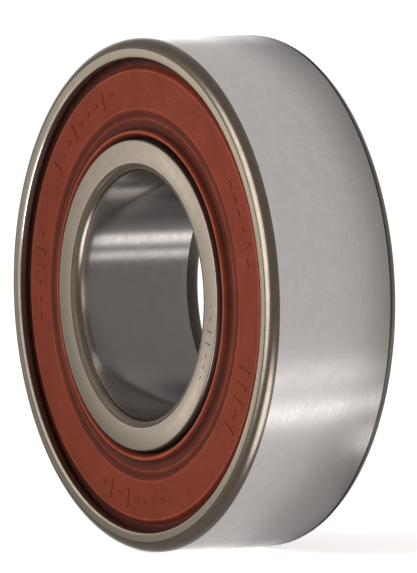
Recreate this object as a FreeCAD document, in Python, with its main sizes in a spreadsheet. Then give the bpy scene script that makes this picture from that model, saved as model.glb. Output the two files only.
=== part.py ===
"""Deep-groove ball bearing, 25 x 52 x 15 mm, with a rubber contact seal on each side.

Millimetres, +Z up. The bearing's axis is +Y and the origin is the centre of the bore at mid width,
so the bearing stands on its rim with its front side face towards -Y.
Every section is drawn once: X is the radius and Y runs along the axis.
"""

import FreeCAD
import Part
import Sketcher
import os
import re

# The driving dimensions, in millimetres unless the name says otherwise.
SIZES = {
    # boundary of the bearing
    "bore_dia": 25.0,
    "outside_dia": 52.0,
    "bearing_width": 15.0,
    "outer_corner": 1.1,        # rounding of the outside diameter into the side faces
    "bore_corner": 0.9,         # rounding of the bore into the side faces
    "edge_break": 0.12,         # small chamfer on the other edges of a side face
    # balls and raceways
    "ball_count": 9,
    "ball_dia": 7.938,
    "pitch_dia": 39.04,
    "race_curve": 4.1,          # radius of the raceway groove's section
    "race_play": 0.01,          # gap between a ball and each raceway
    "inner_shoulder": 17.2,     # radius of the inner ring beside its raceway
    "outer_shoulder": 21.9,     # radius of the outer ring beside its raceway
    # seal seats in the rings; a depth is measured inwards from the side face
    "inner_land": 15.75,        # radius of the inner ring at the side face
    "outer_land": 24.0,         # radius of the outer ring's mouth at the side face
    "snap_groove": 24.35,       # radius of the groove that holds the seal's bead
    "snap_lip_depth": 0.8,
    "snap_start": 1.3,
    "shoulder_depth": 2.25,
    "lip_groove": 15.4,         # radius of the groove that the seal's lip runs in
    "lip_land_depth": 1.3,
    "lip_groove_start": 1.6,
    "lip_groove_end": 2.05,
    "lip_wall_depth": 2.35,
    # pressed steel insert of a seal
    "insert_inner": 17.3,
    "insert_outer": 22.9,
    "insert_depth": 1.05,
    "insert_gauge": 0.4,
    "insert_flange": 0.9,
    # moulded rubber of a seal
    "panel_depth": 0.7,         # recess of the seal's flat panel behind the side faces
    "panel_inner": 18.75,
    "panel_outer": 22.75,
    "bead_depth": 1.2,
    "bead_step": 23.15,
    "bead_edge": 0.2,           # taper and edge of the bead
    "bead_play": 0.05,
    "bead_back": 2.2,
    "lip_gap": 0.07,            # running gap between a lip and the inner ring
    "dust_lip_end": 1.2,
    "dust_lip_start": 0.95,
    "dust_lip_draft": 0.08,
    "lip_ridge_inner": 16.36,
    "lip_ridge_outer": 16.62,
    "lip_ridge_depth": 0.25,
    "lip_crease": 16.9,
    "lip_crease_depth": 0.9,
    "web_ridge": 17.85,
    "web_ridge_depth": 0.78,
    "web_crease": 18.2,
    "web_crease_depth": 0.95,
    "lip_root": 16.95,
    "lip_root_depth": 1.6,
    "lip_front": 1.65,
    "lip_back": 2.1,
    "lip_tip": 16.1,
    "lip_tip_inner": 16.0,
    "lip_tip_outer": 16.25,
    # riveted ribbon cage
    "cage_inner": 17.75,
    "cage_outer": 21.3,
    "ribbon_gauge": 0.8,
    "pocket_play": 0.12,        # gap between a ball and its pocket
    "cage_reach": 6.0,          # how far the trimming cut reaches, past the pocket shells
    "cage_keep": 5.5,           # axial reach of what the trimming cut leaves
    "rivet_dia": 1.3,
    "rivet_head_dia": 2.3,
    "rivet_head_flat": 1.3,
    "rivet_head_height": 0.45,
    "rivet_head_edge": 0.15,    # height of the head's straight rim
    # grease bank on the inner side of each seal
    "grease_inner": 19.6,
    "grease_outer": 22.4,
    "grease_crest": 21.2,
    "grease_depth": 1.47,
    "grease_toe": 1.65,
    "grease_slope": 2.05,       # depth of the bank halfway between its toe and its crest
    "grease_back": 2.35,
    "grease_clear": 0.02,
}

FRONT, BACK = -1, 1             # the side faces towards -Y and +Y
NEAR = 1e-3                     # two places closer than this are the same, in millimetres


def make_sheet(doc):
    """Writes the driving dimensions into a spreadsheet, one aliased cell each."""
    sheet = doc.addObject("Spreadsheet::Sheet", "Sizes")
    for row, (name, value) in enumerate(SIZES.items(), start=1):
        sheet.set(f"A{row}", name)
        sheet.set(f"B{row}", str(value))
        sheet.setAlias(f"B{row}", name)
    doc.recompute()


def cell(formula):
    """A formula in sheet names, such as "pitch_dia / 2", as a FreeCAD expression."""
    return re.sub(r"[a-z_]+", lambda word: "Sizes." + word[0] if word[0] in SIZES else word[0],
                  formula)


def from_side(side, depth):
    """The axial place that lies a depth in from a side face."""
    return f"{side} * (bearing_width / 2 - ({depth}))"


def both_sides(corners):
    """A half section's corners, from the back face inwards, followed by their mirror image."""
    front = [(radius, f"-({place})") if place else (radius, None) for radius, place in corners]
    return corners + front[::-1]


def new_body(doc, name):
    body = doc.addObject("PartDesign::Body", name)
    body.Label = name
    return body


def origin_feature(body, role):
    return next(f for f in body.Origin.OriginFeatures if f.Role == role)


def new_sketch(body, name, role="XY_Plane"):
    sketch = body.newObject("Sketcher::SketchObject", name)
    sketch.AttachmentSupport = (origin_feature(body, role), [""])
    sketch.MapMode = "FlatFace"
    return sketch


def bind(sketch, constraint, formula):
    """Adds a dimension to a sketch and binds it to the sheet."""
    index = sketch.addConstraint(constraint)
    sketch.setExpression(f"Constraints[{index}]", cell(formula))


def value_of(sketch, formula):
    return float(sketch.evalExpression(cell(formula)))


def place_point(sketch, geometry, end, radius, place):
    """Dimensions one end of an edge from the origin. A place of None is left to the edge's arc."""
    bind(sketch, Sketcher.Constraint("DistanceX", -1, 1, geometry, end,
                                     value_of(sketch, radius)), radius)
    if place is not None:
        bind(sketch, Sketcher.Constraint("DistanceY", -1, 1, geometry, end,
                                         value_of(sketch, place)), place)


def draw_loop(sketch, corners, arcs=None):
    """Draws a closed loop of edges through corners, given as (radius, place) formulas.

    arcs maps the number of the corner that an arc starts from to the arc's
    (centre radius, arc radius), both formulas. Such an arc is centred at mid width.
    """
    arcs = arcs or {}
    points = []
    for number, (radius, place) in enumerate(corners):
        x = value_of(sketch, radius)
        if place is None:
            starts = number in arcs
            centre, curve = arcs[number if starts else number - 1]
            reach = value_of(sketch, curve) ** 2 - (x - value_of(sketch, centre)) ** 2
            y = reach ** 0.5 * (1 if starts else -1)
        else:
            y = value_of(sketch, place)
        points.append(FreeCAD.Vector(x, y, 0))
    edges = []
    for number, start in enumerate(points):
        end = points[(number + 1) % len(points)]
        if number in arcs:
            centre, curve = (value_of(sketch, f) for f in arcs[number])
            bulge = centre + curve if start.x > centre else centre - curve
            middle = FreeCAD.Vector(bulge, 0, 0)
            edge = Part.Arc(start, middle, end)
        else:
            edge = Part.LineSegment(start, end)
        edges.append(sketch.addGeometry(edge, False))
    ends = {}
    for number, edge in enumerate(edges):
        begin, finish = 1, 2
        if number in arcs and sketch.getPoint(edge, 1).distanceToPoint(points[number]) > NEAR:
            begin, finish = 2, 1    # an arc is stored counter-clockwise
        ends[number] = (edge, begin, finish)
    for number in range(len(edges)):
        edge, _, finish = ends[number]
        following, begin, _ = ends[(number + 1) % len(edges)]
        sketch.addConstraint(Sketcher.Constraint("Coincident", edge, finish, following, begin))
    for number, (radius, place) in enumerate(corners):
        edge, begin, _ = ends[number]
        place_point(sketch, edge, begin, radius, place)
    for number, (centre, curve) in arcs.items():
        edge = ends[number][0]
        bind(sketch, Sketcher.Constraint("Radius", edge, value_of(sketch, curve)), curve)
        place_point(sketch, edge, 3, centre, "0 * bearing_width")


def turn(body, sketch, kind="PartDesign::Revolution"):
    """Turns a section a full turn about the bearing's axis."""
    feature = body.newObject(kind, sketch.Name + "_turned")
    feature.Profile = sketch
    feature.ReferenceAxis = (sketch, ["V_Axis"])
    feature.Angle = 360


def turned_body(doc, name, corners, arcs=None):
    body = new_body(doc, name)
    sketch = new_sketch(body, name + "_section")
    draw_loop(sketch, corners, arcs)
    turn(body, sketch)
    doc.recompute()
    return body


def circles_at(shape, radius):
    """Names of the circular edges of that radius on the shape's two side faces."""
    half = SIZES["bearing_width"] / 2
    names = []
    for number, edge in enumerate(shape.Edges, start=1):
        curve = edge.Curve
        if isinstance(curve, Part.Circle) and abs(curve.Radius - radius) < NEAR:
            if abs(abs(curve.Center.y) - half) < NEAR:
                names.append(f"Edge{number}")
    return names


def dress(doc, body, kind, size_property, radius, size):
    """Rounds or chamfers the two edges of that radius, by a size from the sheet."""
    ring = body.Tip
    edges = circles_at(ring.Shape, radius)
    feature = body.newObject(kind, kind.split("::")[1])
    feature.Base = (ring, edges)
    feature.setExpression(size_property, cell(size))
    doc.recompute()


def round_edges(doc, body, radius, size):
    dress(doc, body, "PartDesign::Fillet", "Radius", radius, size)


def break_edges(doc, body, radius, size):
    dress(doc, body, "PartDesign::Chamfer", "Size", radius, size)


def make_outer_ring(doc):
    """Raceway outside the balls, a shoulder each side of it, and a snap groove for each seal."""
    corners = both_sides([
        ("outside_dia / 2", from_side(BACK, "0")),
        ("outer_land", from_side(BACK, "0")),
        ("outer_land", from_side(BACK, "snap_lip_depth")),
        ("snap_groove", from_side(BACK, "snap_start")),
        ("snap_groove", from_side(BACK, "shoulder_depth")),
        ("outer_shoulder", from_side(BACK, "shoulder_depth")),
        ("outer_shoulder", None),
    ])
    raceway = "pitch_dia / 2 + ball_dia / 2 + race_play"
    arcs = {6: (f"{raceway} - race_curve", "race_curve")}
    body = turned_body(doc, "outer_ring", corners, arcs)
    round_edges(doc, body, SIZES["outside_dia"] / 2, "outer_corner")
    break_edges(doc, body, SIZES["outer_land"], "edge_break")
    return body


def make_inner_ring(doc):
    """Raceway inside the balls, shoulders, and a groove each side for a seal's lip."""
    corners = both_sides([
        ("bore_dia / 2", from_side(BACK, "0")),
        ("inner_land", from_side(BACK, "0")),
        ("inner_land", from_side(BACK, "lip_land_depth")),
        ("lip_groove", from_side(BACK, "lip_groove_start")),
        ("lip_groove", from_side(BACK, "lip_groove_end")),
        ("inner_shoulder", from_side(BACK, "lip_wall_depth")),
        ("inner_shoulder", None),
    ])
    raceway = "pitch_dia / 2 - ball_dia / 2 - race_play"
    arcs = {6: (f"{raceway} + race_curve", "race_curve")}
    body = turned_body(doc, "inner_ring", corners, arcs)
    round_edges(doc, body, SIZES["bore_dia"] / 2, "bore_corner")
    break_edges(doc, body, SIZES["inner_land"], "edge_break")
    return body


def make_seal_insert(doc, name, side):
    """Pressed steel washer with a short flange that stiffens the seal's bead."""
    back = "insert_depth + insert_gauge"
    flange_end = "insert_depth + insert_flange"
    corners = [
        ("insert_inner", from_side(side, "insert_depth")),
        ("insert_outer", from_side(side, "insert_depth")),
        ("insert_outer", from_side(side, flange_end)),
        ("insert_outer - insert_gauge", from_side(side, flange_end)),
        ("insert_outer - insert_gauge", from_side(side, back)),
        ("insert_inner", from_side(side, back)),
    ]
    return turned_body(doc, name, corners)


def make_seal_rubber(doc, name, side):
    """Rubber moulded over the insert: a snap bead, a flat panel, and a double lip."""
    flange_end = "insert_depth + insert_flange"
    flange_inner = "insert_outer - insert_gauge"
    corners = [
        # outer side, from the dust lip to the bead
        ("inner_land + lip_gap", from_side(side, "dust_lip_end")),
        ("inner_land + lip_gap + dust_lip_draft", from_side(side, "dust_lip_start")),
        ("lip_ridge_inner", from_side(side, "lip_ridge_depth")),
        ("lip_ridge_outer", from_side(side, "lip_ridge_depth")),
        ("lip_crease", from_side(side, "lip_crease_depth")),
        ("web_ridge", from_side(side, "web_ridge_depth")),
        ("web_crease", from_side(side, "web_crease_depth")),
        ("panel_inner", from_side(side, "panel_depth")),
        ("panel_outer", from_side(side, "panel_depth")),
        ("bead_step", from_side(side, "bead_depth")),
        ("outer_land - bead_edge", from_side(side, "bead_depth")),
        ("snap_groove", from_side(side, "snap_start + bead_play")),
        # inner side, from the bead round the insert to the main lip
        ("snap_groove", from_side(side, "bead_back - bead_edge")),
        ("snap_groove - bead_edge", from_side(side, "bead_back")),
        (flange_inner, from_side(side, "bead_back")),
        (flange_inner, from_side(side, flange_end)),
        ("insert_outer", from_side(side, flange_end)),
        ("insert_outer", from_side(side, "insert_depth")),
        ("insert_inner", from_side(side, "insert_depth")),
        ("insert_inner", from_side(side, "insert_depth + insert_gauge")),
        ("lip_root", from_side(side, "lip_root_depth")),
        ("lip_tip_outer", from_side(side, "lip_back")),
        ("lip_tip_inner", from_side(side, "lip_back")),
        ("lip_tip", from_side(side, "lip_front")),
    ]
    return turned_body(doc, name, corners)


def make_grease(doc, name, side):
    """Bank of grease that the passing cage has pushed against the seal and the shoulder."""
    corners = [
        ("grease_inner", from_side(side, "grease_depth")),
        ("grease_outer", from_side(side, "grease_depth")),
        ("grease_outer", from_side(side, "bead_back + grease_clear")),
        ("outer_shoulder", from_side(side, "bead_back + grease_clear")),
        ("grease_crest", from_side(side, "grease_back")),
        ("(grease_inner + grease_crest) / 2", from_side(side, "grease_slope")),
        ("grease_inner", from_side(side, "grease_toe")),
    ]
    return turned_body(doc, name, corners)


def centre_on_ball(sphere, number):
    """Puts a sphere on a ball's centre. The balls stand halfway between the cage's rivets."""
    angle = f"(({number} - 0.5) * 360 / ball_count) * 1 deg"
    sphere.setExpression("Placement.Base.x", cell(f"pitch_dia / 2 * cos({angle})"))
    sphere.setExpression("Placement.Base.z", cell(f"-pitch_dia / 2 * sin({angle})"))


def make_ball(doc, number):
    name = f"ball_{number}"
    ball = doc.addObject("Part::Sphere", name)
    ball.Label = name
    ball.setExpression("Radius", cell("ball_dia / 2"))
    centre_on_ball(ball, number)
    return ball


def around(doc, body, feature):
    """Repeats a feature round the bearing's axis, once for each ball."""
    pattern = body.newObject("PartDesign::PolarPattern", feature.Name + "_pattern")
    pattern.Originals = [feature]
    pattern.Axis = (origin_feature(body, "Y_Axis"), [""])
    pattern.Angle = 360
    pattern.setExpression("Occurrences", cell("ball_count"))
    body.Tip = pattern
    doc.recompute()


def pocket_spheres(doc, body, kind, name, radius, side):
    """Adds to or takes from a cage half a sphere round each ball's centre."""
    sphere = body.newObject(kind, name)
    sphere.setExpression("Radius", cell(radius))
    # The poles lie along the ball's radius and the seam faces away, so both are trimmed off.
    poles = FreeCAD.Rotation(FreeCAD.Vector(0, 1, 0), 90 + 180 / SIZES["ball_count"])
    seam = FreeCAD.Rotation(FreeCAD.Vector(0, 0, 1), -90 * side)
    sphere.Placement.Rotation = poles * seam
    centre_on_ball(sphere, 1)
    doc.recompute()
    around(doc, body, sphere)


def rectangle(inner, outer, near, far):
    return [(inner, near), (outer, near), (outer, far), (inner, far)]


def make_cage_half(doc, name, side):
    """One pressed ribbon: flats at mid width between the balls, and a domed pocket over each ball."""
    body = new_body(doc, name)
    ribbon = new_sketch(body, name + "_flat")
    mid = "0 * bearing_width"
    draw_loop(ribbon, rectangle("cage_inner", "cage_outer", mid, f"{side} * ribbon_gauge"))
    turn(body, ribbon)
    doc.recompute()
    pocket = "ball_dia / 2 + pocket_play"
    pocket_spheres(doc, body, "PartDesign::AdditiveSphere", name + "_shell",
                   pocket + " + ribbon_gauge", side)
    trim = new_sketch(body, name + "_trim")
    draw_loop(trim, rectangle("cage_inner - cage_reach", "cage_outer + cage_reach",
                              "-cage_reach", "cage_reach"))
    draw_loop(trim, rectangle("cage_inner", "cage_outer", mid, f"{side} * cage_keep"))
    turn(body, trim, "PartDesign::Groove")
    doc.recompute()
    pocket_spheres(doc, body, "PartDesign::SubtractiveSphere", name + "_pocket", pocket, side)
    holes = new_sketch(body, name + "_hole", "XZ_Plane")
    centre = FreeCAD.Vector(SIZES["pitch_dia"] / 2, 0, 0)
    shank = SIZES["rivet_dia"] / 2
    circle = holes.addGeometry(Part.Circle(centre, FreeCAD.Vector(0, 0, 1), shank), False)
    bind(holes, Sketcher.Constraint("Radius", circle, shank), "rivet_dia / 2")
    bind(holes, Sketcher.Constraint("DistanceX", -1, 1, circle, 3, centre.x), "pitch_dia / 2")
    holes.addConstraint(Sketcher.Constraint("PointOnObject", circle, 3, -1))
    drilled = body.newObject("PartDesign::Pocket", name + "_drilled")
    drilled.Profile = holes
    drilled.Type = "ThroughAll"
    drilled.SideType = "Symmetric"
    doc.recompute()
    around(doc, body, drilled)
    return body


def make_rivets(doc):
    """The rivets that clamp the two ribbons, one between each two balls."""
    body = new_body(doc, "cage_rivets")
    body.AllowCompound = True
    sketch = new_sketch(body, "rivet_section")
    axis_x = "pitch_dia / 2"
    head_end = "(ribbon_gauge + rivet_head_height)"
    half = [
        ("rivet_head_flat / 2", head_end),
        ("rivet_head_dia / 2", "(ribbon_gauge + rivet_head_edge)"),
        ("rivet_head_dia / 2", "ribbon_gauge"),
        ("rivet_dia / 2", "ribbon_gauge"),
    ]
    corners = [(axis_x, head_end)]
    corners += [(f"{axis_x} + {radius}", place) for radius, place in half]
    corners += [(f"{axis_x} + {radius}", f"-{place}") for radius, place in half[::-1]]
    corners += [(axis_x, f"-{head_end}")]
    draw_loop(sketch, corners)
    rivet = body.newObject("PartDesign::Revolution", "rivet")
    rivet.Profile = sketch
    rivet.ReferenceAxis = (sketch, [f"Edge{len(corners)}"])
    rivet.Angle = 360
    doc.recompute()
    around(doc, body, rivet)
    return body


def check(doc, pieces):
    """Stops the build if any object failed or any piece isn't made of valid closed solids."""
    for item in doc.Objects:
        if "Invalid" in item.State or "Error" in item.State:
            raise RuntimeError(f"{item.Label} failed: {item.State}")
    for piece in pieces:
        shape = piece.Shape
        if shape.isNull() or not shape.isValid() or not shape.Solids:
            raise RuntimeError(f"{piece.Label} has no valid solid")
        if any(not solid.isClosed() for solid in shape.Solids):
            raise RuntimeError(f"{piece.Label} isn't closed")
        print(f"{piece.Label}: {len(shape.Solids)} solid(s), {shape.Volume:.2f} mm3")


def main():
    doc = FreeCAD.newDocument("ball_bearing")
    make_sheet(doc)
    pieces = [make_outer_ring(doc), make_inner_ring(doc)]
    pieces += [make_ball(doc, number) for number in range(1, SIZES["ball_count"] + 1)]
    for word, side in (("front", FRONT), ("back", BACK)):
        pieces.append(make_cage_half(doc, f"cage_half_{word}", side))
        pieces.append(make_seal_insert(doc, f"seal_insert_{word}", side))
        pieces.append(make_seal_rubber(doc, f"seal_rubber_{word}", side))
        pieces.append(make_grease(doc, f"grease_{word}", side))
    pieces.append(make_rivets(doc))
    doc.recompute()
    check(doc, pieces)
    os.makedirs("parts", exist_ok=True)
    for piece in pieces:
        piece.Shape.exportStep(f"parts/{piece.Label}.step")


main()
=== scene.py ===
"""Looks of a sealed ball bearing: turned rings, moulded seals, balls, cage and grease.

Meshes are in metres. Section sizes are written in millimetres: radius from the bearing's axis, and
place along it. The axis is Y, the front side face looks towards -Y, and the rim stands on the floor.
"""

import math

import bmesh
import bpy
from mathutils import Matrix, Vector


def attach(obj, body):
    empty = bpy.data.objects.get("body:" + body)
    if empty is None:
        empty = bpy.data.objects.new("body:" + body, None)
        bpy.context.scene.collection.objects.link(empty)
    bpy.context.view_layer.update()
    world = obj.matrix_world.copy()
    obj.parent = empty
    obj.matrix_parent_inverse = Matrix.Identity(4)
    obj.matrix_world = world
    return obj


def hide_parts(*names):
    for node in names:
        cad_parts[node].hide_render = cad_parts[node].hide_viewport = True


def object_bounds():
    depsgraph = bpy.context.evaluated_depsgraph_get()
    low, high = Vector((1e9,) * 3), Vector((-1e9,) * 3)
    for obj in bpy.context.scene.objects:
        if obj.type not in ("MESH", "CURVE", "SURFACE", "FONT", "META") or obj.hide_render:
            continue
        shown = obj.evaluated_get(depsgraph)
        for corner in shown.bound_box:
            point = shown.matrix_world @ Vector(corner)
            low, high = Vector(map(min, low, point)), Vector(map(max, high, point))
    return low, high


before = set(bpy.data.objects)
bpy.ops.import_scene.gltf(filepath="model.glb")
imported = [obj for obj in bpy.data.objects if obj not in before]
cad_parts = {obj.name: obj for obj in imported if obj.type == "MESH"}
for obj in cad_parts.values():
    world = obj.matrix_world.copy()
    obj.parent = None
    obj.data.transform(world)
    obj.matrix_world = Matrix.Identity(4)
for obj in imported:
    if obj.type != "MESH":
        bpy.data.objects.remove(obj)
cad_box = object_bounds()

MM = 0.001
HALF_WIDTH = 7.5
PITCH_RADIUS = 19.52
BALL_RADIUS = 3.969
BALL_COUNT = 9
FIRST_RIVET = 0.0          # the first rivet's angle round the axis, half a step from a ball
RIBBON_GAUGE = 0.8
BORE_SHADE_FROM = 5.8             # place where the painted shade on the bore starts, near its back corner
RIVET_HEAD_HEIGHT = 0.45
TURNING_RADIUS = 0.01      # metres: the circle that a section is turned along
FRONT, BACK = -1, 1
SIDES = (("front", FRONT), ("back", BACK))
# Arcs of mould marks: the first mark's angle round the axis in degrees, and the number of marks.
MARK_ARCS = ((108, 9), (166, 6), (-112, 8), (-36, 5), (12, 6))


def placed_object(name, data):
    """A new object in the scene, at the origin."""
    thing = bpy.data.objects.new(name, data)
    bpy.context.scene.collection.objects.link(thing)
    return thing


# ---------------------------------------------------------------- sections

def depth(side, millimetres):
    """The place along the axis that lies that far in from a side face."""
    return side * (HALF_WIDTH - millimetres)


def raceway(mid_radius, curve_radius, shoulder, outward, steps=40):
    """Points of a raceway groove from the back shoulder to the front one."""
    centre = mid_radius - outward * curve_radius
    reach = math.asin(math.sqrt(curve_radius ** 2 - (shoulder - centre) ** 2) / curve_radius)
    points = []
    for step in range(steps + 1):
        angle = reach * (1 - 2 * step / steps)
        points.append((centre + outward * curve_radius * math.cos(angle),
                       curve_radius * math.sin(angle), 0))
    return points


def mirrored(half, groove):
    """A ring's whole section: its back half, the groove, and the half's mirror image."""
    return half + groove + [(radius, -place, rounding) for radius, place, rounding in half[::-1]]


def outer_ring_section():
    """The outer ring, with a mouth and a groove for each seal."""
    groove = raceway(PITCH_RADIUS + BALL_RADIUS + 0.01, 4.1, 21.9, 1)
    return mirrored([
        (26.0, depth(BACK, 0), 1.1),
        (24.0, depth(BACK, 0), 0.25),
        (24.0, depth(BACK, 0.8), 0.06),
        (24.35, depth(BACK, 1.3), 0.06),
        (24.35, depth(BACK, 2.25), 0.06),
        (21.9, depth(BACK, 2.25), 0.2),
    ], groove)


def inner_ring_section():
    """The inner ring, with a step for each seal's lip."""
    groove = raceway(PITCH_RADIUS - BALL_RADIUS - 0.01, 4.1, 17.2, -1)
    return mirrored([
        (12.5, BORE_SHADE_FROM, 0),
        (12.5, depth(BACK, 0), 0.9),
        (15.75, depth(BACK, 0), 0.14),
        (15.75, depth(BACK, 1.3), 0.06),
        (15.4, depth(BACK, 1.6), 0.06),
        (15.4, depth(BACK, 2.05), 0.06),
        (17.2, depth(BACK, 2.35), 0.2),
    ], groove)


def seal_rubber_section(side):
    """A seal's rubber: lip, web, flat panel, and the bead that snaps in the ring."""
    return [
        (15.82, depth(side, 1.2), 0.03),
        (15.9, depth(side, 0.95), 0.05),
        (16.36, depth(side, 0.25), 0.1),
        (16.62, depth(side, 0.25), 0.12),
        (16.9, depth(side, 0.9), 0.12),
        (17.85, depth(side, 0.78), 0.12),
        (18.2, depth(side, 0.95), 0.12),
        (18.75, depth(side, 0.7), 0.14),
        (22.75, depth(side, 0.7), 0.14),
        (23.15, depth(side, 1.2), 0.14),
        (23.8, depth(side, 1.2), 0.05),
        (24.33, depth(side, 1.35), 0.04),
        (24.33, depth(side, 2.0), 0.08),
        (24.13, depth(side, 2.2), 0.08),
        (22.5, depth(side, 2.2), 0.08),
        (22.5, depth(side, 1.95), 0),
        (22.9, depth(side, 1.95), 0),
        (22.9, depth(side, 1.05), 0),
        (17.3, depth(side, 1.05), 0),
        (17.3, depth(side, 1.45), 0),
        (16.95, depth(side, 1.6), 0.1),
        (16.25, depth(side, 2.1), 0.08),
        (16.0, depth(side, 2.1), 0.05),
        (16.1, depth(side, 1.65), 0.1),
    ]


def seal_insert_section(side):
    """The pressed steel inside a seal."""
    return [
        (17.3, depth(side, 1.05), 0.05),
        (22.9, depth(side, 1.05), 0.35),
        (22.9, depth(side, 1.95), 0.05),
        (22.5, depth(side, 1.95), 0.05),
        (22.5, depth(side, 1.45), 0.05),
        (17.3, depth(side, 1.45), 0.05),
    ]


def grease_section(side):
    """Grease that the cage has banked up against a seal."""
    return [
        (19.7, depth(side, 1.47), 0.05),
        (22.4, depth(side, 1.47), 0.05),
        (22.4, depth(side, 2.22), 0.05),
        (21.9, depth(side, 2.22), 0.05),
        (21.2, depth(side, 2.3), 0.3),
        (20.4, depth(side, 2.0), 0.4),
        (19.7, depth(side, 1.6), 0.05),
    ]


# ---------------------------------------------------------------- geometry trees

def new_tree(name, sizes):
    """An empty geometry tree with a geometry input, one input for each size, and a material."""
    tree = bpy.data.node_groups.new(name, "GeometryNodeTree")
    tree.interface.new_socket("Geometry", in_out="INPUT", socket_type="NodeSocketGeometry")
    for label, kind, value in sizes:
        socket = tree.interface.new_socket(label, in_out="INPUT", socket_type="NodeSocket" + kind)
        socket.default_value = value
    tree.interface.new_socket("Material", in_out="INPUT", socket_type="NodeSocketMaterial")
    tree.interface.new_socket("Geometry", in_out="OUTPUT", socket_type="NodeSocketGeometry")
    return tree, tree.nodes.new("NodeGroupInput")


def fill_inputs(tree, node, inputs):
    """Links or sets a node's inputs by name or number."""
    for key, value in inputs.items():
        if isinstance(value, bpy.types.NodeSocket):
            tree.links.new(value, node.inputs[key])
        else:
            node.inputs[key].default_value = value


def add(tree, kind, inputs=None, **properties):
    """Adds a node, sets its properties, and links or sets its inputs."""
    node = tree.nodes.new(kind)
    for name, value in properties.items():
        setattr(node, name, value)
    fill_inputs(tree, node, inputs or {})
    return node


def finish_tree(tree, given, geometry):
    """Smooths what is rounded, keeps edges over 35 degrees sharp, and ends the tree."""
    angle = add(tree, "GeometryNodeInputMeshEdgeAngle")
    crisp = add(tree, "FunctionNodeCompare", {0: angle.outputs[0], 1: math.radians(35)},
                data_type="FLOAT", operation="GREATER_THAN")
    smooth = add(tree, "GeometryNodeSetShadeSmooth", {"Geometry": geometry}, domain="FACE")
    sharp = add(tree, "GeometryNodeSetShadeSmooth",
                {"Geometry": smooth.outputs[0], "Selection": crisp.outputs[0],
                 "Shade Smooth": False}, domain="EDGE")
    whole = add(tree, "GeometryNodeRealizeInstances", {"Geometry": sharp.outputs[0]})
    painted = add(tree, "GeometryNodeSetMaterial",
                  {"Geometry": whole.outputs[0], "Material": given.outputs["Material"]})
    add(tree, "NodeGroupOutput", {0: painted.outputs[0]})
    return tree


def turning_tree():
    """Rounds a section's corners by each point's own radius, and turns it about the axis."""
    tree, given = new_tree("turn_section", [
        ("Steps around", "Int", 288), ("Corner steps", "Int", 6),
        ("Turning radius", "Float", 0.01)])
    line = add(tree, "GeometryNodeMeshToCurve", {0: given.outputs["Geometry"]})
    rounding = add(tree, "GeometryNodeInputNamedAttribute", {"Name": "rounding"}, data_type="FLOAT")
    rounded = add(tree, "GeometryNodeFilletCurve",
                  {"Curve": line.outputs[0], "Radius": rounding.outputs[0],
                   "Count": given.outputs["Corner steps"], "Limit Radius": True}, mode="POLY")
    circle = add(tree, "GeometryNodeCurvePrimitiveCircle",
                 {"Resolution": given.outputs["Steps around"],
                  "Radius": given.outputs["Turning radius"]})
    turned = add(tree, "GeometryNodeCurveToMesh",
                 {"Curve": circle.outputs[0], "Profile Curve": rounded.outputs[0]})
    laid = add(tree, "GeometryNodeTransform",
               {"Geometry": turned.outputs[0], "Rotation": (math.pi / 2, 0, 0)})
    return finish_tree(tree, given, laid.outputs[0])


def marks_tree():
    """A row of upright bars, level bars and dots along an arc round the axis, picked at random."""
    tree, given = new_tree("marks_along_arc", [
        ("Marks", "Int", 6), ("Arc radius", "Float", 0.02), ("First angle", "Float", 0.0),
        ("Step angle", "Float", 0.1), ("Place", "Float", 0.0), ("Height", "Float", 0.002),
        ("Stroke", "Float", 0.0003), ("Thickness", "Float", 0.0002), ("Seed", "Int", 1)])
    size = given.outputs
    number = add(tree, "GeometryNodeInputIndex").outputs[0]
    angle = math_node(tree, "ADD", size["First angle"],
                      math_node(tree, "MULTIPLY", number, size["Step angle"]))
    spot = add(tree, "ShaderNodeCombineXYZ", {
        0: math_node(tree, "MULTIPLY", size["Arc radius"], math_node(tree, "COSINE", angle)),
        1: size["Place"],
        2: math_node(tree, "MULTIPLY", size["Arc radius"], math_node(tree, "SINE", angle))})
    places = add(tree, "GeometryNodePoints", {"Count": size["Marks"], "Position": spot.outputs[0]})
    half = math_node(tree, "MULTIPLY", size["Height"], 0.5)
    upright = add(tree, "GeometryNodeMeshCube", {"Size": add(tree, "ShaderNodeCombineXYZ", {
        0: size["Stroke"], 1: size["Thickness"], 2: size["Height"]}).outputs[0]})
    level = add(tree, "GeometryNodeMeshCube", {"Size": add(tree, "ShaderNodeCombineXYZ", {
        0: half, 1: size["Thickness"], 2: size["Stroke"]}).outputs[0]})
    round_dot = add(tree, "GeometryNodeMeshCylinder", {
        "Vertices": 14, "Radius": math_node(tree, "MULTIPLY", size["Stroke"], 0.9),
        "Depth": size["Thickness"]})
    dot = add(tree, "GeometryNodeTransform",
              {"Geometry": round_dot.outputs[0], "Rotation": (math.pi / 2, 0, 0)})
    shapes = tree.nodes.new("GeometryNodeGeometryToInstance")
    for shape in (upright, level, dot):
        tree.links.new(shape.outputs[0], shapes.inputs[0])
    chance = add(tree, "FunctionNodeRandomValue", {4: 0, 5: 2, 8: size["Seed"]}, data_type="INT")
    lean = add(tree, "ShaderNodeCombineXYZ", {
        1: math_node(tree, "SUBTRACT", math.pi / 2, angle)})
    turned = add(tree, "FunctionNodeEulerToRotation", {0: lean.outputs[0]})
    placed = add(tree, "GeometryNodeInstanceOnPoints", {
        "Points": places.outputs[0], "Instance": shapes.outputs[0], "Pick Instance": True,
        "Instance Index": chance.outputs[2], "Rotation": turned.outputs[0]})
    return finish_tree(tree, given, placed.outputs[0])


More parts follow.
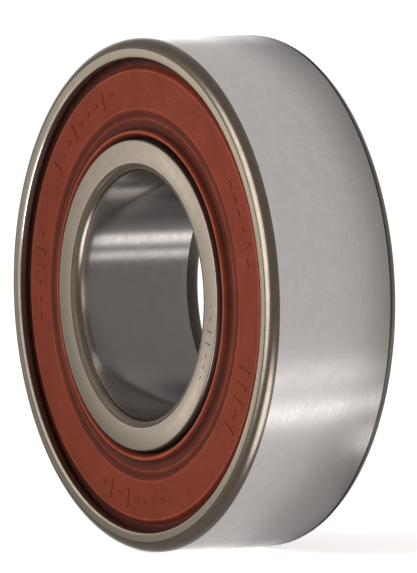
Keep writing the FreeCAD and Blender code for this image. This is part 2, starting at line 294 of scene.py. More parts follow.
def round_axis_tree():
    """Copies of a shape, evenly round the axis."""
    tree, given = new_tree("repeat_round_axis", [
        ("Copies", "Int", 9), ("Circle radius", "Float", 0.02), ("First angle", "Float", 0.0)])
    size = given.outputs
    number = add(tree, "GeometryNodeInputIndex").outputs[0]
    angle = math_node(tree, "ADD", size["First angle"], math_node(
        tree, "DIVIDE", math_node(tree, "MULTIPLY", number, math.tau), size["Copies"]))
    spot = add(tree, "ShaderNodeCombineXYZ", {
        0: math_node(tree, "MULTIPLY", size["Circle radius"], math_node(tree, "COSINE", angle)),
        2: math_node(tree, "MULTIPLY", size["Circle radius"], math_node(tree, "SINE", angle))})
    places = add(tree, "GeometryNodePoints", {"Count": size["Copies"], "Position": spot.outputs[0]})
    copies = add(tree, "GeometryNodeInstanceOnPoints",
                 {"Points": places.outputs[0], "Instance": size["Geometry"]})
    return finish_tree(tree, given, copies.outputs[0])


def modifier_input(tree, label):
    """The identifier of a tree's input."""
    return next(item.identifier for item in tree.interface.items_tree
                if item.item_type == "SOCKET" and item.in_out == "INPUT" and item.name == label)


def face_outwards(mesh):
    """Turns a closed mesh right side out, by the sign of its volume."""
    shape = bmesh.new()
    shape.from_mesh(mesh)
    if shape.calc_volume(signed=True) < 0:
        bmesh.ops.reverse_faces(shape, faces=shape.faces)
        shape.to_mesh(mesh)
    shape.free()


def plain_piece(name, base, tree, values):
    """Runs a tree on an object and returns the result as a plain mesh object."""
    modifier = base.modifiers.new(tree.name, "NODES")
    modifier.node_group = tree
    for label, value in values.items():
        modifier[modifier_input(tree, label)] = value
    bpy.context.view_layer.update()
    mesh = bpy.data.meshes.new_from_object(
        base.evaluated_get(bpy.context.evaluated_depsgraph_get()))
    base.modifiers.remove(modifier)
    bpy.data.objects.remove(base)
    mesh.name = name
    face_outwards(mesh)
    return placed_object(name, mesh)


def section_object(name, section):
    """A closed line through a section's points, each with its rounding, in metres."""
    mesh = bpy.data.meshes.new(name)
    count = len(section)
    points = [(radius * MM - TURNING_RADIUS, place * MM, 0) for radius, place, _ in section]
    mesh.from_pydata(points, [(i, (i + 1) % count) for i in range(count)], [])
    rounding = mesh.attributes.new("rounding", "FLOAT", "POINT")
    rounding.data.foreach_set("value", [point[2] * MM for point in section])
    return placed_object(name, mesh)


def turned_piece(name, section, body, stands_for, steps_around=288, corner_steps=6):
    """A section turned round the axis, on its body."""
    piece = plain_piece(name, section_object(name + "_section", section), turning,
                        {"Steps around": steps_around, "Corner steps": corner_steps,
                         "Turning radius": TURNING_RADIUS})
    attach(piece, body)
    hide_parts(stands_for)
    return piece


def rivet_section():
    """Half of a rivet from its axis out: a shank, and a domed head on each ribbon."""
    end = RIBBON_GAUGE + RIVET_HEAD_HEIGHT
    half = [(0.0, end, 0), (0.45, end - 0.02, 0.2), (0.95, RIBBON_GAUGE + 0.27, 0.2),
            (1.15, RIBBON_GAUGE + 0.1, 0.05), (1.15, RIBBON_GAUGE, 0.02), (0.65, RIBBON_GAUGE, 0)]
    return half + [(radius, -place, rounding) for radius, place, rounding in half[::-1]]


def rivets():
    """The cage's rivets, one midway between each two balls."""
    section = rivet_section()
    mesh = bpy.data.meshes.new("rivet_heads")
    shape = bmesh.new()
    outline = [shape.verts.new((radius * MM, place * MM, 0)) for radius, place, _ in section]
    edges = [shape.edges.new(pair) for pair in zip(outline, outline[1:])]
    bmesh.ops.spin(shape, geom=outline + edges, cent=(0, 0, 0), axis=(0, 1, 0), angle=math.tau,
                   steps=28)
    bmesh.ops.remove_doubles(shape, verts=shape.verts, dist=1e-7)
    bmesh.ops.recalc_face_normals(shape, faces=shape.faces)
    shape.to_mesh(mesh)
    shape.free()
    rivet = placed_object("rivet_heads", mesh)
    piece = plain_piece("cage_rivets_headed", rivet, repeating, {
        "Copies": BALL_COUNT, "Circle radius": PITCH_RADIUS * MM,
        "First angle": FIRST_RIVET, "Material": rivet_steel})
    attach(piece, "cage")
    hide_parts("cage_rivets")


def mould_marks(word, side):
    """Generic raised marks along arcs of a seal's panel: bars and dots, no lettering."""
    for number, (first, marks) in enumerate(MARK_ARCS):
        base = placed_object("marks", bpy.data.meshes.new("marks"))
        piece = plain_piece(f"mould_marks_{word}_{number + 1}", base, marking, {
            "Marks": marks, "Arc radius": 20.9 * MM, "First angle": math.radians(first),
            "Step angle": math.radians(4.6), "Place": depth(side, 0.72) * MM,
            "Height": 1.9 * MM, "Stroke": 0.3 * MM, "Thickness": 0.2 * MM,
            "Seed": number + (5 if side == FRONT else 11), "Material": red_rubber})
        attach(piece, "outer")
        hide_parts("seal_rubber_" + word)


def ring_marks():
    """Fine etched strokes on the inner ring's front face."""
    base = placed_object("marks", bpy.data.meshes.new("marks"))
    piece = plain_piece("ring_marks_etched", base, marking, {
        "Marks": 7, "Arc radius": 14.55 * MM, "First angle": math.radians(-31),
        "Step angle": math.radians(5), "Place": depth(FRONT, 0.02) * MM, "Height": 0.95 * MM,
        "Stroke": 0.13 * MM, "Thickness": 0.06 * MM, "Seed": 4, "Material": etched_steel})
    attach(piece, "inner")
    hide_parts("inner_ring")


def finish_by_place(piece, finishes, choose):
    """Gives each face a finish. choose takes the face's radius and place in millimetres."""
    mesh = piece.data
    mesh.materials.clear()
    for finish in finishes:
        mesh.materials.append(finish)
    for face in mesh.polygons:
        x, y, z = face.center / MM
        face.material_index = choose(math.hypot(x, z), y)


# ---------------------------------------------------------------- shader groups

def new_group(name, inputs, outputs):
    """An empty shader group, and its inputs."""
    group = bpy.data.node_groups.new(name, "ShaderNodeTree")
    for label, kind, value in inputs:
        socket = group.interface.new_socket(label, in_out="INPUT", socket_type="NodeSocket" + kind)
        if value is not None:
            socket.default_value = value
    for label, kind in outputs:
        group.interface.new_socket(label, in_out="OUTPUT", socket_type="NodeSocket" + kind)
    return group, group.nodes.new("NodeGroupInput").outputs


def math_node(tree, operation, *values):
    """One step of arithmetic."""
    node = add(tree, "ShaderNodeMath", dict(enumerate(values)), operation=operation)
    return node.outputs[0]


def around_axis(tree, vector):
    """A point's radius from the bearing's axis, place along it, and direction round it."""
    split = add(tree, "ShaderNodeSeparateXYZ", {0: vector}).outputs
    radius = math_node(tree, "SQRT", math_node(tree, "ADD",
                       math_node(tree, "MULTIPLY", split[0], split[0]),
                       math_node(tree, "MULTIPLY", split[2], split[2])))
    safe = math_node(tree, "MAXIMUM", radius, 1e-6)
    return (radius, split[1], math_node(tree, "DIVIDE", split[0], safe),
            math_node(tree, "DIVIDE", split[2], safe))


def cutting_lines_group():
    """Fine lines that run round the axis, as a grinding wheel or a turning tool leaves them."""
    group, given = new_group("cutting_lines", [
        ("Vector", "Vector", None), ("Lines per mm", "Float", 8.0), ("Breaks", "Float", 3.0)],
        [("Lines", "Float")])
    radius, place, across, up = around_axis(group, given["Vector"])
    along = math_node(group, "ADD", radius, math_node(group, "MULTIPLY", place, 0.83))
    scaled = math_node(group, "MULTIPLY", math_node(group, "MULTIPLY", along, 1000),
                       given["Lines per mm"])
    point = add(group, "ShaderNodeCombineXYZ", {
        0: scaled,
        1: math_node(group, "MULTIPLY", across, given["Breaks"]),
        2: math_node(group, "MULTIPLY", up, given["Breaks"])})
    noise = add(group, "ShaderNodeTexNoise",
                {"Vector": point.outputs[0], "Scale": 1.0, "Detail": 3.0, "Roughness": 0.6})
    add(group, "NodeGroupOutput", {0: noise.outputs["Fac"]})
    return group


def mottle_group():
    """Soft cloudy patches of a given size, between 0 and 1."""
    group, given = new_group("mottle", [
        ("Vector", "Vector", None), ("Patches per mm", "Float", 1.0), ("Detail", "Float", 3.0)],
        [("Mottle", "Float")])
    scale = math_node(group, "MULTIPLY", given["Patches per mm"], 1000)
    noise = add(group, "ShaderNodeTexNoise",
                {"Vector": given["Vector"], "Scale": scale, "Detail": given["Detail"],
                 "Roughness": 0.55})
    spread = add(group, "ShaderNodeMapRange",
                 {0: noise.outputs["Fac"], 1: 0.3, 2: 0.7, 3: 0.0, 4: 1.0})
    add(group, "NodeGroupOutput", {0: spread.outputs[0]})
    return group


def rim_mask_group():
    """1 on a ring of a given radius, falling to 0 over a given width. Both are in millimetres."""
    group, given = new_group("rim_mask", [
        ("Vector", "Vector", None), ("Radius", "Float", 24.0), ("Width", "Float", 0.2)],
        [("Mask", "Float")])
    radius = around_axis(group, given["Vector"])[0]
    away = math_node(group, "ABSOLUTE", math_node(
        group, "SUBTRACT", math_node(group, "MULTIPLY", radius, 1000), given["Radius"]))
    mask = math_node(group, "SUBTRACT", 1.0, math_node(group, "DIVIDE", away, given["Width"]))
    clear = math_node(group, "MAXIMUM", mask, 0.0)
    add(group, "NodeGroupOutput", {0: clear})
    return group


def specks_group():
    """Scattered small round specks, 1 inside and 0 outside. Their size is in millimetres."""
    group, given = new_group("specks", [
        ("Vector", "Vector", None), ("Specks per mm", "Float", 1.0), ("Size", "Float", 0.1)],
        [("Mask", "Float")])
    scale = math_node(group, "MULTIPLY", given["Specks per mm"], 1000)
    cells = add(group, "ShaderNodeTexVoronoi", {"Vector": given["Vector"], "Scale": scale})
    chance = add(group, "ShaderNodeSeparateColor", {0: cells.outputs["Color"]}).outputs[0]
    size = math_node(group, "MULTIPLY", given["Size"], math_node(
        group, "MULTIPLY", given["Specks per mm"], math_node(group, "POWER", chance, 3.0)))
    inside = math_node(group, "SUBTRACT", size, cells.outputs["Distance"])
    mask = add(group, "ShaderNodeMapRange", {0: inside, 1: -0.03, 2: 0.03, 3: 0.0, 4: 1.0})
    add(group, "NodeGroupOutput", {0: mask.outputs[0]})
    return group


# ---------------------------------------------------------------- finishes

def new_finish(name):
    """A material with its shader and its object coordinates."""
    finish = bpy.data.materials.new(name)
    finish.use_nodes = True
    tree = finish.node_tree
    shader = next(node for node in tree.nodes if node.type == "BSDF_PRINCIPLED")
    place = tree.nodes.new("ShaderNodeTexCoord").outputs["Object"]
    return finish, tree, shader, place


def placed_group(tree, group, inputs):
    """Places a shader group in a material with its own values. Returns its output."""
    node = tree.nodes.new("ShaderNodeGroup")
    node.node_tree = group
    fill_inputs(tree, node, inputs)
    return node.outputs[0]


def mixed_colour(tree, factor, first, second):
    """The second colour over the first, by a factor from 0 to 1."""
    node = add(tree, "ShaderNodeMix", data_type="RGBA", blend_type="MIX")
    for socket, value in zip((node.inputs[0], node.inputs[6], node.inputs[7]),
                             (factor, first, second)):
        if isinstance(value, bpy.types.NodeSocket):
            tree.links.new(value, socket)
        else:
            socket.default_value = value if socket is node.inputs[0] else (*value, 1)
    return node.outputs[2]


def ranged(tree, value, low, high):
    """Spreads a value between 0 and 1 over another range."""
    return add(tree, "ShaderNodeMapRange", {0: value, 1: 0.0, 2: 1.0, 3: low, 4: high}).outputs[0]


def bumped(tree, shader, height, strength, distance):
    """Gives a shader relief by a height."""
    bump = add(tree, "ShaderNodeBump",
               {"Height": height, "Strength": strength, "Distance": distance})
    tree.links.new(bump.outputs[0], shader.inputs["Normal"])


def steel_finish(name, light, dark, roughness, lines_per_mm, line_depth, breaks=3.0,
                 patches_per_mm=0.8, spread=0.08, highlight_edges=()):
    """Steel worked round its axis: cutting lines, cloudy patches, and painted highlights along given
    edges.
    """
    finish, tree, shader, place = new_finish(name)
    lines = placed_group(tree, cutting_lines,
                         {"Vector": place, "Lines per mm": lines_per_mm, "Breaks": breaks})
    patches = placed_group(tree, mottle,
                           {"Vector": place, "Patches per mm": patches_per_mm, "Detail": 4.0})
    fine = placed_group(tree, mottle, {"Vector": place, "Patches per mm": 6.0, "Detail": 2.0})
    shade = math_node(tree, "ADD", math_node(tree, "MULTIPLY", lines, 0.5),
                      math_node(tree, "ADD", math_node(tree, "MULTIPLY", patches, 0.25),
                                math_node(tree, "MULTIPLY", fine, 0.25)))
    colour = mixed_colour(tree, shade, dark, light)
    # Painted highlights: the steel is lightened along given edges, in patches.
    for radius, width in highlight_edges:
        mask = placed_group(tree, rim_mask, {"Vector": place, "Radius": radius, "Width": width})
        steel_highlight = math_node(tree, "MULTIPLY", mask, ranged(tree, patches, 0.3, 0.9))
        colour = mixed_colour(tree, steel_highlight, colour, HIGHLIGHT_STEEL)
    tree.links.new(colour, shader.inputs["Base Color"])
    tree.links.new(ranged(tree, shade, roughness + spread, roughness - spread),
                   shader.inputs["Roughness"])
    shader.inputs["Metallic"].default_value = 1.0
    bumped(tree, shader, lines, 1.0, line_depth)
    return finish


def rubber_finish(name, light, dark, creases, highlight_ridges):
    """Matt moulded rubber: pits, flow marks, specks of dirt, painted shade in creases, painted
    highlights on ridges.
    """
    finish, tree, shader, place = new_finish(name)
    patches = placed_group(tree, mottle, {"Vector": place, "Patches per mm": 0.35, "Detail": 5.0})
    grain = placed_group(tree, mottle, {"Vector": place, "Patches per mm": 5.0, "Detail": 3.0})
    dirt = placed_group(tree, specks, {"Vector": place, "Specks per mm": 0.9, "Size": 0.16})
    flow = placed_group(tree, cutting_lines,
                        {"Vector": place, "Lines per mm": 2.0, "Breaks": 5.0})
    shade = math_node(tree, "ADD", math_node(tree, "MULTIPLY", grain, 0.4),
                      math_node(tree, "ADD", math_node(tree, "MULTIPLY", patches, 0.4),
                                math_node(tree, "MULTIPLY", flow, 0.2)))
    colour = mixed_colour(tree, shade, dark, light)
    # Painted highlights: the rubber is lightened along given ridges and edges, in patches.
    for radius, width, strength in highlight_ridges:
        mask = placed_group(tree, rim_mask, {"Vector": place, "Radius": radius, "Width": width})
        rubber_highlight = math_node(tree, "MULTIPLY", mask, ranged(tree, patches, 0.5 * strength, strength))
        colour = mixed_colour(tree, rubber_highlight, colour, HIGHLIGHT_RUBBER)
    # Painted shade: the rubber is darkened in its creases, its web, round its bead and at the lip's
    # gap.
    for radius, width, strength in creases:
        mask = placed_group(tree, rim_mask, {"Vector": place, "Radius": radius, "Width": width})
        crease_shade = math_node(tree, "MULTIPLY", math_node(tree, "SQRT", mask), strength)
        colour = mixed_colour(tree, crease_shade, colour, SHADE_AND_DIRT_RUBBER)
    colour = mixed_colour(tree, math_node(tree, "MULTIPLY", dirt, 0.6), colour, SHADE_AND_DIRT_RUBBER)
    tree.links.new(colour, shader.inputs["Base Color"])
    tree.links.new(ranged(tree, grain, 0.75, 0.5), shader.inputs["Roughness"])
    shader.inputs["Specular IOR Level"].default_value = 0.12
    bumped(tree, shader, grain, 0.35, 0.00003)
    return finish


def grease_finish():
    """Amber grease with a soft gloss and a lumpy surface."""
    finish, tree, shader, place = new_finish("lithium_grease")
    patches = placed_group(tree, mottle, {"Vector": place, "Patches per mm": 0.5, "Detail": 4.0})
    tree.links.new(mixed_colour(tree, patches, (0.42, 0.27, 0.09), (0.6, 0.44, 0.2)),
                   shader.inputs["Base Color"])
    tree.links.new(ranged(tree, patches, 0.28, 0.15), shader.inputs["Roughness"])
    bumped(tree, shader, patches, 0.4, 0.0001)
    return finish


# ---------------------------------------------------------------- the bearing

turning, marking, repeating = turning_tree(), marks_tree(), round_axis_tree()
cutting_lines, mottle = cutting_lines_group(), mottle_group()
rim_mask, specks = rim_mask_group(), specks_group()

# Pale steel for the painted highlights along the ring faces' edges.
HIGHLIGHT_STEEL = (0.78, 0.74, 0.69)
# Light red for the painted highlights on the seal's ridges.
HIGHLIGHT_RUBBER = (0.26, 0.07, 0.038)
# Near-black red for the painted shade in the seal's creases, and for its specks of dirt.
SHADE_AND_DIRT_RUBBER = (0.012, 0.002, 0.0015)
rim_steel = steel_finish("ground_rim_steel", (0.73, 0.70, 0.675), (0.58, 0.55, 0.53),
                         0.24, 9.0, 0.000002, breaks=4.0)
# The ring faces get painted highlights along the mouth's edge and along the edge next to the bore.
face_steel = steel_finish("ground_face_steel", (0.58, 0.525, 0.46), (0.40, 0.36, 0.31),
                          0.20, 7.0, 0.000004, breaks=5.0, spread=0.05,
                          highlight_edges=((24.08, 0.12), (13.4, 0.12)))
corner_steel = steel_finish("browned_corner_steel", (0.20, 0.172, 0.148), (0.10, 0.084, 0.07),
                            0.24, 6.0, 0.000004)
# Near-black steel: painted shade on the bore's back part and back corner.
bore_shade_steel = steel_finish("bore_back_painted_shade_steel", (0.11, 0.095, 0.08), (0.05, 0.042, 0.035),
                          0.3, 5.0, 0.000003)
bore_steel = steel_finish("honed_bore_steel", (0.67, 0.63, 0.60), (0.50, 0.465, 0.44),
                          0.16, 8.0, 0.0000005)
groove_steel = steel_finish("turned_groove_steel", (0.36, 0.33, 0.30), (0.22, 0.20, 0.18),
                            0.34, 5.0, 0.000006)
race_steel = steel_finish("honed_raceway_steel", (0.80, 0.79, 0.77), (0.68, 0.67, 0.65),
                          0.1, 12.0, 0.0000005)
ball_steel = steel_finish("lapped_ball_steel", (0.82, 0.82, 0.83), (0.74, 0.74, 0.76),
                          0.09, 3.0, 0.0000003, spread=0.03)
cage_steel = steel_finish("pressed_strip_steel", (0.55, 0.53, 0.49), (0.38, 0.36, 0.33),
                          0.33, 4.0, 0.000004, breaks=9.0)
rivet_steel = steel_finish("headed_rivet_steel", (0.60, 0.57, 0.53), (0.42, 0.40, 0.37),
                           0.28, 6.0, 0.000003)
etched_steel = steel_finish("etched_mark_steel", (0.14, 0.125, 0.11), (0.07, 0.06, 0.05),
                            0.5, 5.0, 0.000003)
insert_steel = steel_finish("phosphated_insert_steel", (0.34, 0.33, 0.32), (0.22, 0.215, 0.21),
                            0.5, 3.0, 0.000003)
# Rings of painted shade, then of painted highlights: radius of the middle and half width in
# millimetres, and strength.
PAINTED_SHADE_RINGS = ((23.65, 0.75, 0.9), (17.35, 0.65, 0.62), (16.93, 0.25, 0.75), (18.3, 0.45, 0.65),
           (15.9, 0.35, 1.0))
PAINTED_HIGHLIGHT_RIDGES = ((22.7, 0.14, 0.45), (18.85, 0.14, 0.25), (17.85, 0.14, 0.4), (16.5, 0.2, 0.5))
red_rubber = rubber_finish("brick_red_rubber", (0.122, 0.0186, 0.0062), (0.070, 0.0096, 0.0031),
                           PAINTED_SHADE_RINGS, PAINTED_HIGHLIGHT_RIDGES)
grease_amber = grease_finish()

outer = turned_piece("outer_ring_turned", outer_ring_section(), "outer", "outer_ring")
finish_by_place(outer, [rim_steel, face_steel, corner_steel, groove_steel, race_steel],
                lambda radius, place: (
                    0 if radius > 25.98 else
                    2 if radius > 24.92 else
                    1 if abs(place) > 7.3 else
                    4 if radius < 21.95 or abs(place) < 3.5 else 3))

inner = turned_piece("inner_ring_turned", inner_ring_section(), "inner", "inner_ring")
finish_by_place(inner, [bore_steel, face_steel, corner_steel, groove_steel, race_steel, bore_shade_steel],
                lambda radius, place: (
                    # Index 5: painted shade on the bore's back part and back corner.
                    5 if radius < 13.38 and place > BORE_SHADE_FROM else
                    0 if radius < 12.52 else
                    2 if radius < 13.38 and place < -6.6 else
                    # The outer edge of the inner ring's faces takes the browned corner finish; its
                    # darkness there is painted shade.
                    2 if radius > 15.62 and abs(place) > 7.3 else
                    1 if abs(place) > 7.3 else
                    4 if radius > 17.15 or abs(place) < 3.5 else 3))

for word, side in SIDES:
    rubber = turned_piece("seal_rubber_moulded_" + word, seal_rubber_section(side), "outer",
                          "seal_rubber_" + word)
    rubber.data.materials[0] = red_rubber
    insert = turned_piece("seal_insert_pressed_" + word, seal_insert_section(side), "outer",
                          "seal_insert_" + word)
    insert.data.materials[0] = insert_steel
    grease = turned_piece("grease_bank_" + word, grease_section(side), "outer",
                          "grease_" + word)
    grease.data.materials[0] = grease_amber

    mould_marks(word, side)

rivets()
ring_marks()

for name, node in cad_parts.items():
    if name.startswith("ball_"):
        node.data.materials[0] = ball_steel
    elif name.startswith("cage_half"):
        node.data.materials[0] = cage_steel


# ---------------------------------------------------------------- studio

# Strips behind the bearing: their angle round its axis, half width and softness in degrees,
# and how much they add.
STRIPS = [(-34.5, 5.0, 3.0, 0.55), (-51.5, 3.5, 2.5, 1.5), (-110.0, 16.0, 12.0, -0.16),
          (-164.0, 12.0, 8.0, 0.2)]
# Lamps: the way to them, their size and softness in degrees, and their colour and strength.
LAMPS = [((-0.22, -0.95, 0.16), 46.0, 9.0, (5.5, 5.4, 5.1)),
         ((0.63, -0.27, -0.72), 38.0, 9.0, (6.4, 6.4, 6.3)),
         ((-0.95, 0.3, 0.0), 36.0, 12.0, (1.4, 1.4, 1.4))]
# The shade tube: its radius and its near and far ends along the axis, in metres.
TUBE_RADIUS, TUBE_NEAR, TUBE_FAR, TUBE_STEPS = 0.060, 0.012, 0.056, 128
TUBE_DIMMING = 0.27        # the light that the tube's far part lets through
# Light strips on the tube that the bore reflects, as STRIPS above.
BORE_STRIPS = [(-38.5, 3.6, 1.5, 0.72), (-55.5, 6.0, 2.0, 0.9)]
# The card's middle: millimetres to the left, along the axis, and down. Then its half size,
# and the radius where it starts to fade and the one where it's gone.
CARD_MIDDLE = (41.0, -32.0, 3.2)
CARD_HALF, CARD_FADE, CARD_END = 42, 31.0, 40.0
# The card's tone grows across and upwards, by these parts of its range for each millimetre.
CARD_GROWS_ACROSS, CARD_GROWS_UP = 0.41 / 24, 0.5 / 24
CARD_DARKEST, CARD_BRIGHTEST = 0.09, 0.97
CARD_LIGHT = (2.5, 2.325, 2.1)
CARD_LIGHT_SHARE = 0.4     # the card's tone of 1 is this part of CARD_LIGHT
# Glows on the card: place across and up in millimetres from its middle, size, and strength.
FACE_GLOWS = [(7.3, 12.6, 8.0, 0.8), (10.5, -10.5, 10.0, 1.15)]
# The camera: degrees round from the front and up, metres away, and the lens in millimetres.
CAMERA_TURN, CAMERA_RISE, CAMERA_AWAY, CAMERA_LENS = 59.13, 3.85, 0.894, 554.4
CAMERA_ASIDE, CAMERA_UPWARD = 0.000806, 0.00065   # metres, so that the bearing is in the middle


def studio_floor():
    """Plain pale paper under the bearing."""
    finish, tree, shader, place = new_finish("pale_paper")
    patches = placed_group(tree, mottle, {"Vector": place, "Patches per mm": 0.01, "Detail": 3.0})
    tree.links.new(mixed_colour(tree, patches, (0.9, 0.9, 0.9), (0.93, 0.93, 0.93)),
                   shader.inputs["Base Color"])
    shader.inputs["Roughness"].default_value = 1.0
    shader.inputs["Specular IOR Level"].default_value = 0.0
    shader.inputs["Emission Color"].default_value = (1, 1, 1, 1)
    shader.inputs["Emission Strength"].default_value = 0.5
    mesh = bpy.data.meshes.new("floor")
    reach, level = 8.0, cad_box[0].z
    mesh.from_pydata([(-reach, -reach, level), (reach, -reach, level),
                      (reach, reach, level), (-reach, reach, level)], [], [(0, 1, 2, 3)])
    mesh.materials.append(finish)
    floor = placed_object("floor", mesh)
    floor.visible_glossy = False
    floor.visible_shadow = False


def smooth_step(tree, value, low, high):
    """0 at one value and 1 at another, with a soft slope between."""
    node = add(tree, "ShaderNodeMapRange", {0: value, 1: low, 2: high, 3: 0.0, 4: 1.0},
               interpolation_type="SMOOTHSTEP")
    return node.outputs[0]


def studio_surround():
    """White to the camera. In reflections it is an even grey room with soft lamps and strips."""
    world = bpy.data.worlds.new("studio")
    bpy.context.scene.world = world
    world.use_nodes = True
    tree = world.node_tree
    tree.nodes.clear()
    direction = tree.nodes.new("ShaderNodeTexCoord").outputs["Generated"]
    split = add(tree, "ShaderNodeSeparateXYZ", {0: direction}).outputs
    turn = math_node(tree, "ARCTAN2", split[2], split[0])
    degrees = math_node(tree, "MULTIPLY", turn, 180 / math.pi)
    behind = smooth_step(tree, split[1], -0.1, 0.35)
    light = mixed_colour(tree, behind, (0.52, 0.475, 0.42), (0.64, 0.63, 0.635))

    def plus(total, mask, colour):
        tinted = mixed_colour(tree, mask, (0, 0, 0), colour)
        node = add(tree, "ShaderNodeVectorMath", {0: total, 1: tinted}, operation="ADD")
        return node.outputs[0]

    for middle, half, soft, strength in STRIPS:
        away = math_node(tree, "ABSOLUTE", math_node(tree, "SUBTRACT", degrees, middle))
        near = math_node(tree, "SUBTRACT", 1.0, smooth_step(tree, away, half - soft, half + soft))
        light = plus(light, math_node(tree, "MULTIPLY", near, behind), (strength,) * 3)
    for toward, degrees_across, soft, colour in LAMPS:
        aim = Vector(toward).normalized()
        facing = add(tree, "ShaderNodeVectorMath", {0: direction, 1: tuple(aim)},
                     operation="DOT_PRODUCT").outputs["Value"]
        lit = smooth_step(tree, facing, math.cos(math.radians(degrees_across / 2 + soft)),
                          math.cos(math.radians(max(degrees_across / 2 - soft, 0))))
        light = plus(light, lit, colour)
    room = add(tree, "ShaderNodeBackground", {0: light, 1: 1.0})
    page = add(tree, "ShaderNodeBackground", {0: (1, 1, 1, 1), 1: 1.0})
    path = tree.nodes.new("ShaderNodeLightPath")
    mix = add(tree, "ShaderNodeMixShader", {0: path.outputs["Is Camera Ray"],
                                            1: room.outputs[0], 2: page.outputs[0]})
    add(tree, "ShaderNodeOutputWorld", {0: mix.outputs[0]})
    world.cycles.sampling_method = "MANUAL"
    world.cycles.sample_map_resolution = 1024


def seen_in_reflections_only(thing):
    """Makes a card or shade of the studio that only shows in polished metal."""
    for ray in ("camera", "diffuse", "transmission", "volume_scatter", "shadow"):
        setattr(thing, "visible_" + ray, False)


def thin_film(name):
    """A material that lets light through by one colour and adds another. Returns its sockets."""
    film = bpy.data.materials.new(name)
    film.use_nodes = True
    tree = film.node_tree
    tree.nodes.clear()
    through = tree.nodes.new("ShaderNodeBsdfTransparent")
    glow = tree.nodes.new("ShaderNodeEmission")
    both = add(tree, "ShaderNodeAddShader", {0: through.outputs[0], 1: glow.outputs[0]})
    add(tree, "ShaderNodeOutputMaterial", {0: both.outputs[0]})
    place = tree.nodes.new("ShaderNodeTexCoord").outputs["Object"]
    return film, tree, place, through.inputs["Color"], glow.inputs["Color"]


def shade_tube():
    """A dark film tube round the space behind the bearing. Its far part dims the bore."""
    film, tree, place, through, glow = thin_film("shade_film")
    _, along, across, up = around_axis(tree, place)
    along = math_node(tree, "MULTIPLY", along, 1000)
    degrees = math_node(tree, "MULTIPLY", math_node(tree, "ARCTAN2", up, across), 180 / math.pi)
    low = math_node(tree, "SUBTRACT", smooth_step(tree, degrees, -25.0, -60.0),
                    smooth_step(tree, degrees, -85.0, -130.0))
    steep = math_node(tree, "ABSOLUTE", degrees)
    start = ranged(tree, low, 26.0, 18.5)
    rim_part = add(tree, "ShaderNodeMapRange", {
        0: along, 1: start, 2: math_node(tree, "ADD", start, ranged(tree, low, 8.0, 11.0)),
        3: 1.0, 4: 0.5}, interpolation_type="SMOOTHSTEP").outputs[0]
    bottom_wall = smooth_step(tree, degrees, 90.0, 120.0)
    top_wall = math_node(tree, "ADD",
                         math_node(tree, "MULTIPLY", smooth_step(tree, degrees, -70.0, -82.0), 0.5),
                         math_node(tree, "MULTIPLY",
                                   smooth_step(tree, degrees, -95.0, -115.0), 0.4))
    walls = math_node(tree, "SUBTRACT", 1.0, math_node(
        tree, "ADD", top_wall, math_node(tree, "MULTIPLY", bottom_wall, 0.7)))
    deep = math_node(tree, "MULTIPLY", walls, TUBE_DIMMING)
    bore_part = ranged(tree, smooth_step(tree, steep, 60.0, 100.0), 31.0, 36.5)
    far = smooth_step(tree, math_node(tree, "SUBTRACT", along, bore_part), 0.0, 3.0)
    clear = math_node(tree, "ADD", math_node(tree, "MULTIPLY", rim_part,
                                             math_node(tree, "SUBTRACT", 1.0, far)),
                      math_node(tree, "MULTIPLY", deep, far))
    tree.links.new(clear, through)
    total = None
    for middle, half, soft, strength in BORE_STRIPS:
        away = math_node(tree, "ABSOLUTE", math_node(tree, "SUBTRACT", degrees, middle))
        near = math_node(tree, "SUBTRACT", 1.0, smooth_step(tree, away, half - soft, half + soft))
        lit = math_node(tree, "MULTIPLY", near, strength)
        total = lit if total is None else math_node(tree, "ADD", total, lit)
    tree.links.new(math_node(tree, "MULTIPLY", total, far), glow)
    mesh = bpy.data.meshes.new("shade_tube")
    shape = bmesh.new()
    rings = []
    for reach in (TUBE_NEAR, TUBE_FAR):
        rings.append([shape.verts.new((TUBE_RADIUS * math.cos(math.tau * step / TUBE_STEPS), reach,
                                       TUBE_RADIUS * math.sin(math.tau * step / TUBE_STEPS)))
                      for step in range(TUBE_STEPS)])
    for step in range(TUBE_STEPS):
        shape.faces.new((rings[0][step - 1], rings[0][step], rings[1][step], rings[1][step - 1]))
    shape.to_mesh(mesh)
    shape.free()
    mesh.materials.append(film)
    seen_in_reflections_only(placed_object("shade_tube", mesh))


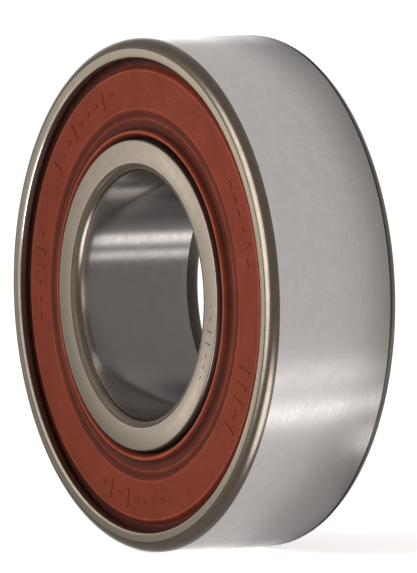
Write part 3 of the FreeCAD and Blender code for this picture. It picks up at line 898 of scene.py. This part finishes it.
def face_card():
    """A card in front whose light falls off to one side. The flat faces mirror it."""
    film, tree, place, through, glow = thin_film("card_film")
    split = add(tree, "ShaderNodeSeparateXYZ", {0: place}).outputs
    across = math_node(tree, "ADD", math_node(tree, "MULTIPLY", split[0], 1000), CARD_MIDDLE[0])
    rise = math_node(tree, "ADD", math_node(tree, "MULTIPLY", split[2], 1000), CARD_MIDDLE[2])
    slope = math_node(tree, "ADD", math_node(tree, "MULTIPLY", across, CARD_GROWS_ACROSS),
                      math_node(tree, "MULTIPLY", rise, CARD_GROWS_UP))
    bright = add(tree, "ShaderNodeMapRange", {
        0: slope, 1: -1.0, 2: 1.0, 3: CARD_DARKEST, 4: CARD_BRIGHTEST}).outputs[0]
    for place_across, place_up, size, strength in FACE_GLOWS:
        squares = [math_node(tree, "POWER", math_node(
            tree, "ABSOLUTE", math_node(tree, "SUBTRACT", value, at)), 2.0)
            for value, at in ((across, place_across), (rise, place_up))]
        away = math_node(tree, "SQRT", math_node(tree, "ADD", *squares))
        spot = smooth_step(tree, away, size, 0.0)
        bright = math_node(tree, "ADD", bright, math_node(tree, "MULTIPLY", spot, strength))
    reach = math_node(tree, "SQRT", math_node(tree, "ADD",
                      math_node(tree, "MULTIPLY", across, across),
                      math_node(tree, "MULTIPLY", rise, rise)))
    solid = smooth_step(tree, reach, CARD_END, CARD_FADE)
    tree.links.new(math_node(tree, "SUBTRACT", 1.0, solid), through)
    share = math_node(tree, "MULTIPLY", math_node(tree, "MULTIPLY", bright, CARD_LIGHT_SHARE),
                      solid)
    tree.links.new(mixed_colour(tree, share, (0, 0, 0), CARD_LIGHT), glow)
    mesh = bpy.data.meshes.new("face_card")
    corners = [(-CARD_MIDDLE[0] + x, CARD_MIDDLE[1], -CARD_MIDDLE[2] + z)
               for x, z in ((-CARD_HALF, -CARD_HALF), (CARD_HALF, -CARD_HALF),
                            (CARD_HALF, CARD_HALF), (-CARD_HALF, CARD_HALF))]
    mesh.from_pydata([Vector(corner) * MM for corner in corners], [], [(0, 1, 2, 3)])
    mesh.materials.append(film)
    seen_in_reflections_only(placed_object("face_card", mesh))


def soft_light(name, place, size, power, colour=(1, 1, 1)):
    """A softbox aimed at the bearing's centre. It lights rubber and paper, and isn't reflected."""
    lamp = bpy.data.lights.new(name, "AREA")
    lamp.size, lamp.energy, lamp.color = size, power, colour
    holder = placed_object(name, lamp)
    holder.location = place
    holder.rotation_euler = (-Vector(place)).to_track_quat("-Z", "Y").to_euler()
    holder.visible_glossy = False
    holder.visible_camera = False


def photographer():
    """The camera, with the bearing filling its frame."""
    turn, rise = math.radians(CAMERA_TURN), math.radians(CAMERA_RISE)
    back = Vector((math.sin(turn) * math.cos(rise), -math.cos(turn) * math.cos(rise),
                   math.sin(rise)))
    right = (-back).cross(Vector((0, 0, 1))).normalized()
    up = right.cross(-back)
    lens = bpy.data.cameras.new("camera")
    lens.sensor_width = 36
    lens.lens = CAMERA_LENS
    lens.clip_start, lens.clip_end = 0.01, 50
    camera = placed_object("camera", lens)
    camera.location = back * CAMERA_AWAY + right * CAMERA_ASIDE + up * CAMERA_UPWARD
    camera.rotation_mode = "QUATERNION"
    camera.rotation_quaternion = (-back).to_track_quat("-Z", "Y")
    bpy.context.scene.camera = camera


studio_floor()
studio_surround()
shade_tube()
face_card()
soft_light("key_softbox", (0.07, -0.13, 0.10), 0.07, 0.09, (1.0, 0.97, 0.93))
photographer()
bpy.context.scene.view_settings.view_transform = "Standard"
